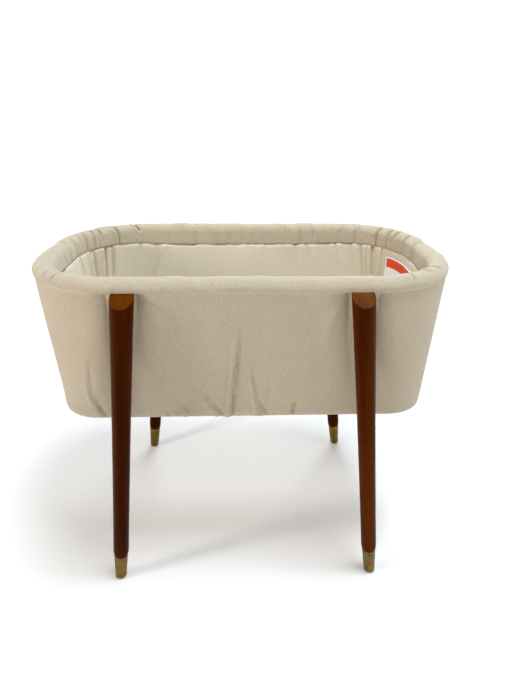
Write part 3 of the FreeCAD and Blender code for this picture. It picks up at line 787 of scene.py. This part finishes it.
def make_cover():
    columns = ring(rear=156, rear_arc=140, side=20, front_arc=96, front=226)
    rows = cover_rows()
    points = laid(columns, [row[0] for row in rows], [row[1] for row in rows])
    roll = np.broadcast_to(np.array([row[2] for row in rows])[:, None], points.shape[:2])
    relief = cover_relief(columns, points, roll)
    points = points + facing(points) * relief[..., None]
    run = down_length(points[:, 0])[:, None]
    points[..., 2] -= seam_sag(points[..., 0], points[..., 1]) * (1 - step(run, 0, 0.022))
    cover = ring_shell("basket_cover", points, COVER_THICK, COVER_CLOTH, relief)
    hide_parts("outer_cover")
    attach(cover, "stand")
    return points


# ---- the panel under the base, gathered on its elastic -------------------------------
def gather(columns, out):
    """How far the panel's ripples hang below its flat shape, growing towards the elastic."""
    rng = np.random.default_rng(RNG_SEED + 2)
    path = round_length(laid(columns, [grown(BASE, -BAND_IN)], [0])[0])
    ripple = 0.5 + 0.5 * waves(path[:-1], path[-1], (61, 74, 53), rng) * 1.6
    grow = step(np.array(out)[:, None], TURN_R, BAND_IN)
    return 0.0045 * np.clip(ripple, 0, 1.3) * grow


def lowered(points, drop):
    moved = points.copy()
    moved[..., 2] -= drop
    return moved


def make_skirt():
    """The panel and the elastic on its inner edge follow the same ripples."""
    columns = ring(rear=200, rear_arc=100, side=60, front_arc=100, front=200)
    outs = np.linspace(TURN_R, BAND_IN, 22)
    rippled = gather(columns, outs)
    sizes = [grown(BASE, -out) for out in outs]
    points = laid(columns, sizes, [skirt_low.z] * len(outs))
    points = lowered(points, rippled)
    edge = bell(np.array(outs) - TURN_R, 0.003)[:, None]
    points[..., 2] += 0.0014 * edge
    skirt = ring_shell("under_skirt_panel", points, COVER_THICK, COVER_CLOTH, -rippled)
    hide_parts("under_skirt")
    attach(skirt, "stand")

    width = band_high.z - band_low.z
    outs = np.linspace(BAND_IN, BAND_IN - ELASTIC_WIDTH, 6)
    rippled = gather(columns, outs)
    points = laid(columns, [grown(BASE, -out) for out in outs], [skirt_low.z + 0.0014 + width] * 6)
    points = lowered(points, rippled)
    band = ring_shell("gathered_elastic", points, width, ELASTIC, -rippled)
    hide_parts("hem_elastic")
    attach(band, "stand")


# ---- the liner -----------------------------------------------------------------------
# upright folds below the seam at the corners: signs of X and Y, degrees from the basket's
# end, depth in mm (raised where negative) and width in mm
LINER_FOLDS = (
    (-1, 1, 24, 4.7, 2.7),
    (-1, 1, 32, -6.0, 3.4),
    (-1, 1, 44, 10.0, 4.0),
    (-1, 1, 54, -5.3, 3.8),
    (-1, 1, 8, 3.7, 2.9),
    (1, 1, 50, 9.3, 4.2),
    (1, 1, 60, -3.3, 3.8),
    (1, 1, 40, 4.0, 2.9),
    (-1, -1, 30, 6.7, 3.8),
    (-1, -1, 52, -4.7, 3.8),
    (1, -1, 36, 6.0, 3.8),
    (1, -1, 58, 5.0, 3.2),
)
LINER_RIDGES = (0.119, 0.177, -0.205)


# how far across the liner's floor its rows are, and how many turn up round its edge
FLOOR_SHARES = (0.004, 0.15, 0.3, 0.45, 0.6, 0.72, 0.82, 0.9, 0.95)
FOOT_ROWS = 6
WALL_START = len(FLOOR_SHARES) + FOOT_ROWS - 1


def liner_rows():
    """The liner from the middle of its floor out to the wall's foot and up to the seam."""
    rounding = 0.006
    rows = []
    for share in FLOOR_SHARES:
        rows.append((tuple(value * share for value in LINER_FOOT), floor_high.z))
    for degrees in np.linspace(-90, 0, FOOT_ROWS):
        turn = math.radians(degrees)
        out = rounding * (math.cos(turn) - 1)
        rows.append((grown(LINER_FOOT, out), floor_high.z + rounding * (1 + math.sin(turn))))
    low_z = rows[-1][1]
    top_z = SEAM_Z - 0.0003
    top = (*LINER_TOP, RIM_CORNER + LINER_TOP[0] - RIM[0])
    for share in np.linspace(0, 1, 34)[1:]:
        eased = share - 0.08 * math.sin(math.tau * share) / math.pi
        rows.append((between(LINER_FOOT, top, eased), low_z + (top_z - low_z) * eased))
    return rows


def liner_relief(columns, points):
    """Relief towards the inside of the basket."""
    rng = np.random.default_rng(RNG_SEED + 3)
    x, y, z = points[..., 0], points[..., 1], points[..., 2]
    path = round_length(laid(columns, [RIM], [RIM_Z])[0])
    length = path[-1]
    place = np.broadcast_to(path[:-1], z.shape)
    height = (z - floor_high.z) / (SEAM_Z - floor_high.z)
    hang = step(height, 0.05, 0.3)
    relief = 0.0024 * waves(place, length, (6, 9, 13), rng) * hang * (1 - step(height, 0.85, 1))
    relief += 0.0010 * waves(place + 0.05 * z, length, (24, 31, 43), rng) * hang

    def upright(where, depth, width, low):
        return fold(apart(place, where, length), depth, width, 0.6) * step(height, low, 1.0)

    for sign_x, sign_y, degrees, depth, width in LINER_FOLDS:
        where = rim_place(columns, *at_corner(sign_x, sign_y, degrees))
        relief += upright(where, depth / 1000, width / 1000, 0.05)
    for at_x in LINER_RIDGES:
        gap = apart(place, rim_place(columns, at_x, RIM[1]), length)
        relief += 0.0020 * bell(gap, 0.008) * hang
    for _ in range(64):
        depth = rng.uniform(0.0006, 0.0018)
        relief += upright(rng.uniform(0, length), depth, 0.0030, rng.uniform(0.75, 0.9))
    relief -= 0.0024 * step(height, 0.975, 1.0)
    on_floor = height < 0.02
    return np.where(on_floor, 0, np.clip(relief, -LINER_LIMIT, LINER_LIMIT))


def make_liner():
    columns = ring(rear=150, rear_arc=100, side=30, front_arc=70, front=120)
    rows = liner_rows()
    points = laid(columns, [row[0] for row in rows], [row[1] for row in rows])
    relief = liner_relief(columns, points)
    points = points + facing(points) * relief[..., None]
    risen = step((points[..., 2] - floor_high.z) / (SEAM_Z - floor_high.z), 0.7, 1)
    points[..., 2] -= seam_sag(points[..., 0], points[..., 1]) * risen
    liner = ring_shell("basket_liner", points, LINER_THICK, LINER_CLOTH, relief)
    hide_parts("inner_liner", "liner_floor")
    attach(liner, "stand")
    return points


# where the label lies along the basket's right end
LABEL_NEAR, LABEL_FAR = -0.010, 0.141


def make_label(points):
    """The sewn label at the far right, lying on the liner's folds with its free edges lifted."""
    wanted = [
        c for c in range(points.shape[1])
        if points[-1, c, 0] > 0.2 and LABEL_NEAR < points[-1, c, 1] < LABEL_FAR
    ]
    heights = np.linspace(label_low.z, label_high.z, 13)
    normals = facing(points)
    grid = []
    for z in heights:
        line = []
        for c in wanted:
            column = points[:, c]
            wall = column[WALL_START:, 2]
            rise = np.interp(z, wall, np.arange(WALL_START, len(column)))
            row = int(rise)
            share = rise - row
            point = column[row] * (1 - share) + column[min(row + 1, len(column) - 1)] * share
            line.append(point + normals[row, c] * 0.0012)
        grid.append(line)
    grid = np.array(grid)
    low_edge = bell(heights - label_low.z, 0.012)[:, None, None]
    inward = np.array([-1.0, -0.25, 0.0])
    grid = grid + low_edge * inward * 0.0015
    rows, count = grid.shape[:2]
    thin = inward * LABEL_THIN
    verts = np.concatenate([(grid + thin).reshape(-1, 3), (grid - thin).reshape(-1, 3)])
    faces = []
    uvs = []

    def add(corners):
        faces.append([back * rows * count + r * count + c for back, r, c in corners])
        for _, r, c in corners:
            uvs.append((1 - c / (count - 1), r / (rows - 1)))

    for r in range(rows - 1):
        for c in range(count - 1):
            add([(0, r, c), (0, r + 1, c), (0, r + 1, c + 1), (0, r, c + 1)])
            add([(1, r, c), (1, r, c + 1), (1, r + 1, c + 1), (1, r + 1, c)])
    for r in range(rows - 1):
        add([(0, r, 0), (1, r, 0), (1, r + 1, 0), (0, r + 1, 0)])
        add([(0, r, count - 1), (0, r + 1, count - 1), (1, r + 1, count - 1), (1, r, count - 1)])
    for c in range(count - 1):
        add([(0, 0, c), (0, 0, c + 1), (1, 0, c + 1), (1, 0, c)])
        add([(0, rows - 1, c), (1, rows - 1, c), (1, rows - 1, c + 1), (0, rows - 1, c + 1)])
    label = mesh_object("sewn_label", verts, faces, uvs, LABEL)
    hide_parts("care_label")
    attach(label, "stand")


# ---- stitching -----------------------------------------------------------------------
def stitch_row(name, path, out):
    """Short thread segments set end to end along a closed path, half sunk in the cloth."""
    run = round_length(path)
    count = int(run[-1] / (STITCH + STITCH_GAP))
    closed = np.concatenate([path, path[:1]])
    lifted = np.concatenate([out, out[:1]])
    verts = []
    faces = []
    for index in range(count):
        start = index * run[-1] / count
        ends = []
        for share in (0.0, 0.2, 0.8, 1.0):
            at = start + STITCH * share
            centre = np.array([np.interp(at, run, closed[:, k]) for k in range(3)])
            normal = np.array([np.interp(at, run, lifted[:, k]) for k in range(3)])
            ends.append((centre, normal))
        ahead = ends[3][0] - ends[0][0]
        ahead = ahead / np.linalg.norm(ahead)
        first = len(verts)
        for (centre, normal), size in zip(ends, (0.3, 1.0, 1.0, 0.3)):
            across = np.cross(ahead, normal)
            for k in range(6):
                turn = math.tau * k / 6
                offset = normal * math.sin(turn) + across * math.cos(turn)
                verts.append(centre + offset * THREAD_R * size)
        for block in range(3):
            for k in range(6):
                a = first + block * 6 + k
                b = first + block * 6 + (k + 1) % 6
                faces.append([a, b, b + 6, a + 6])
        faces.append([first + k for k in range(6)][::-1])
        faces.append([first + 18 + k for k in range(6)])
    uvs = np.zeros((sum(len(face) for face in faces), 2))
    row = mesh_object(name, np.array(verts), faces, uvs, THREAD)
    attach(row, "stand")


def make_stitches(cover):
    """Topstitching over the seam inside, and along the seam under the base."""
    run = down_length(cover[:, 0])
    normals = facing(cover)
    for name, at in (("seam_stitches", 0.0060), ("hem_stitches", run[-1] - 0.0055)):
        level = int(np.argmin(np.abs(run - at)))
        stitch_row(name, cover[level], normals[level])


# ---- padding -------------------------------------------------------------------------
def make_rim_foam():
    """The foam sleeve inside the roll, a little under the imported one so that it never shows."""
    mesh = frame["nodes"]["rim_padding"].data.copy()
    for vertex in mesh.vertices:
        x, y, z = vertex.co
        run_x = RIM[0] - RIM_CORNER
        run_y = RIM[1] - RIM_CORNER
        core_x = max(-run_x, min(run_x, x))
        core_y = max(-run_y, min(run_y, y))
        flat = Vector((x - core_x, y - core_y, 0))
        if flat.length < 1e-9:
            continue
        on_path = Vector((core_x, core_y, RIM_Z)) + flat.normalized() * RIM_CORNER
        offset = vertex.co - on_path
        if offset.length > FOAM_R:
            vertex.co = on_path + offset.normalized() * FOAM_R
    mesh.materials.clear()
    mesh.materials.append(FOAM)
    foam = bpy.data.objects.new("rim_foam", mesh)
    bpy.context.scene.collection.objects.link(foam)
    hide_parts("rim_padding")
    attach(foam, "stand")


def baked(source, name):
    """A new object with the source's modifiers applied."""
    graph = bpy.context.evaluated_depsgraph_get()
    mesh = bpy.data.meshes.new_from_object(source.evaluated_get(graph))
    made = bpy.data.objects.new(name, mesh)
    bpy.context.scene.collection.objects.link(made)
    bpy.data.objects.remove(source)
    return made


def make_mattress():
    """The pad: blown up from inside as cloth, and then laid flat and capped."""
    scene = bpy.context.scene
    source = bpy.data.objects.new("mattress_start", frame["nodes"]["mattress_core"].data.copy())
    scene.collection.objects.link(source)
    remesh = source.modifiers.new("remesh", "REMESH")
    remesh.mode = "VOXEL"
    remesh.voxel_size = 0.006
    body = baked(source, "mattress_body")
    rest = np.zeros(len(body.data.vertices) * 3)
    body.data.vertices.foreach_get("co", rest)
    rest = rest.reshape(-1, 3)
    cloth = body.modifiers.new("cloth", "CLOTH")
    cloth.settings.quality = 5
    cloth.settings.use_pressure = True
    cloth.settings.uniform_pressure_force = 4.0
    cloth.settings.effector_weights.gravity = 0.0
    cloth.point_cache.frame_start = 1
    cloth.point_cache.frame_end = CLOTH_FRAMES
    for number in range(1, CLOTH_FRAMES + 1):
        scene.frame_set(number)
    graph = bpy.context.evaluated_depsgraph_get()
    blown = np.zeros(len(rest) * 3)
    body.evaluated_get(graph).data.vertices.foreach_get("co", blown)
    blown = blown.reshape(-1, 3)
    body.modifiers.clear()
    scene.frame_set(1)
    moved = blown - rest
    far = np.linalg.norm(moved, axis=1, keepdims=True)
    moved = moved * np.minimum(1, PUFF / np.maximum(far, 1e-9))
    shape = rest + moved
    shape[:, 2] = np.maximum(shape[:, 2], pad_low.z + 0.0001)
    for axis in (0, 1):
        shape[:, axis] = np.clip(shape[:, axis], pad_low[axis] - 0.002, pad_high[axis] + 0.002)
    body.data.vertices.foreach_set("co", shape.ravel())
    body.data.update()
    body.modifiers.new("smooth", "SUBSURF").levels = 1
    pad = baked(body, "mattress_pad")
    pad.data.shade_smooth()
    pad.data.materials.clear()
    pad.data.materials.append(TICKING_CLOTH)
    lay_flat_uvs(pad)
    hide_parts("mattress_cover", "mattress_core")
    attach(pad, "mattress")
    make_piping()


def lay_flat_uvs(made):
    """The weave runs along and across the pad: its layout is its plan, in metres."""
    mesh = made.data
    layer = mesh.uv_layers.new(name="cloth")
    corners = np.zeros(len(mesh.loops), np.int32)
    mesh.loops.foreach_get("vertex_index", corners)
    co = np.zeros(len(mesh.vertices) * 3)
    mesh.vertices.foreach_get("co", co)
    co = co.reshape(-1, 3)[corners]
    flat = np.stack([co[:, 0], co[:, 1] + co[:, 2]], -1)
    layer.data.foreach_set("uv", flat.astype(np.float32).ravel())


def make_piping():
    """A corded seam that closes on itself round the middle of the pad's edge."""
    columns = ring(rear=40, rear_arc=30, side=16, front_arc=30, front=40)
    size = (pad_high.x - 0.0005, pad_high.y - 0.0005, PIPING_CORNER)
    path = laid(columns, [size], [(pad_low.z + pad_high.z) / 2])[0]
    out = np.stack([np.cos(columns[2]), np.sin(columns[2]), 0 * columns[2]], -1)
    count = 12
    verts = []
    for k in range(count):
        turn = math.tau * k / count
        lift = np.array([0, 0, PIPING_R * math.sin(turn)])
        verts.append(path + out * PIPING_R * math.cos(turn) + lift)
    across = path.shape[0]
    faces = []
    uvs = []
    run = round_length(path)
    for k in range(count):
        here, above = k * across, (k + 1) % count * across
        low, high = (PIPING_R * math.tau * n / count for n in (k, k + 1))
        for c in range(across):
            ahead = (c + 1) % across
            faces.append([here + c, here + ahead, above + ahead, above + c])
            uvs += [(run[c], low), (run[c + 1], low), (run[c + 1], high), (run[c], high)]
    piping = mesh_object("mattress_piping", np.concatenate(verts), faces, uvs, TICKING_CLOTH)
    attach(piping, "mattress")


# ---- studio --------------------------------------------------------------------------
def aim(made, target):
    made.rotation_mode = "QUATERNION"
    made.rotation_quaternion = (Vector(target) - made.location).to_track_quat("-Z", "Y")


# name, place, what it is aimed at, size, power in watts and colour
SOFTBOXES = (
    ("overhead", (0.45, -0.4, 3.0), (0, 0.05, 0.6), (0.9, 0.9), 63, (0.82, 0.93, 1.0)),
    ("behind", (0.3, 1.6, 2.6), (0, 0, 0.6), (1.2, 1.0), 34, (0.82, 0.93, 1.0)),
    ("left", (-2.2, -1.0, 1.4), (0, 0, 0.50), (0.35, 0.5), 21, (1.0, 0.90, 0.79)),
    ("right", (2.3, -0.5, 1.5), (0, 0, 0.50), (0.7, 0.9), 6, (1.0, 0.92, 0.84)),
)


def softbox(name, location, target, size, power, colour):
    data = bpy.data.lights.new(name, "AREA")
    data.shape = "RECTANGLE"
    data.size, data.size_y = size
    data.energy = power
    data.color = colour
    made = bpy.data.objects.new(name, data)
    made.location = location
    bpy.context.scene.collection.objects.link(made)
    aim(made, target)


def make_studio():
    scene = bpy.context.scene
    world = bpy.data.worlds.new("studio")
    world.use_nodes = True
    tree = world.node_tree
    way = axes(tree, node(tree, "TexCoord").outputs["Generated"])
    high = node(tree, "MapRange", {"Value": way["Z"], 1: 0.17, 2: 0.38}).outputs[0]
    sky = mix(tree, high, (1.10, 1.03, 1.0), (0.12, 0.13, 0.14))
    tree.links.new(sky, tree.nodes["Background"].inputs["Color"])
    scene.world = world
    for light in SOFTBOXES:
        softbox(*light)
    material, tree, shader = start_material("studio_floor", 0.9, Specular_IOR_Level=0.0)
    tone = ramp(tree, noise(tree, object_coordinates(tree), 3.0),
                ((0.3, (0.95, 0.95, 0.95)), (0.7, (0.97, 0.97, 0.97))))
    join(tree, shader, tone)
    place = axes(tree, object_coordinates(tree))
    flat = node(tree, "CombineXYZ", {"X": place["X"], "Y": place["Y"]}).outputs[0]
    away = node(tree, "VectorMath", {0: flat}, operation="LENGTH").outputs["Value"]
    lit = ramp(tree, math_node(tree, "MULTIPLY", away, 0.25),
               ((0.30, (0.16, 0.15, 0.14)), (0.80, (0.90, 0.88, 0.86))))
    tree.links.new(lit, shader.inputs["Emission Color"])
    shader.inputs["Emission Strength"].default_value = 1.0
    mesh = bpy.data.meshes.new("studio_floor")
    reach = 40.0
    corners = [(-reach, -reach, 0), (reach, -reach, 0), (reach, reach, 0), (-reach, reach, 0)]
    mesh.from_pydata(corners, [], [[0, 1, 2, 3]])
    mesh.materials.append(material)
    ground = bpy.data.objects.new("studio_floor", mesh)
    ground.location.z = glide_low.z - 0.0005
    scene.collection.objects.link(ground)
    scene.view_settings.view_transform = "Standard"


# the camera: where it stands, how far it looks down, to the side and rolls, and its lens
CAMERA_PLACE = Vector((-0.0006, -1.1124, 0.9874))
CAMERA_DOWN = math.radians(25.54)
CAMERA_YAW = -0.0402
CAMERA_ROLL = 0.0082
CAMERA_LENS = 26.37


def make_camera():
    data = bpy.data.cameras.new("camera")
    data.lens = CAMERA_LENS
    data.clip_start = 0.05
    made = bpy.data.objects.new("camera", data)
    bpy.context.scene.collection.objects.link(made)
    level = math.cos(CAMERA_DOWN)
    ahead = Vector(
        (-math.sin(CAMERA_YAW) * level, math.cos(CAMERA_YAW) * level, -math.sin(CAMERA_DOWN))
    )
    right = ahead.cross(Vector((0, 0, 1))).normalized()
    up = right.cross(ahead)
    turned_up = up * math.cos(CAMERA_ROLL) - right * math.sin(CAMERA_ROLL)
    turned_right = right * math.cos(CAMERA_ROLL) + up * math.sin(CAMERA_ROLL)
    matrix = made.matrix_world.copy()
    for row in range(3):
        matrix[row][0] = turned_right[row]
        matrix[row][1] = turned_up[row]
        matrix[row][2] = -ahead[row]
        matrix[row][3] = CAMERA_PLACE[row]
    made.matrix_world = matrix
    bpy.context.scene.camera = made


# ---- build ---------------------------------------------------------------------------
finish_cad_nodes()
cover_points = make_cover()
make_skirt()
make_label(make_liner())
make_stitches(cover_points)
make_rim_foam()
make_mattress()
make_studio()
make_camera()
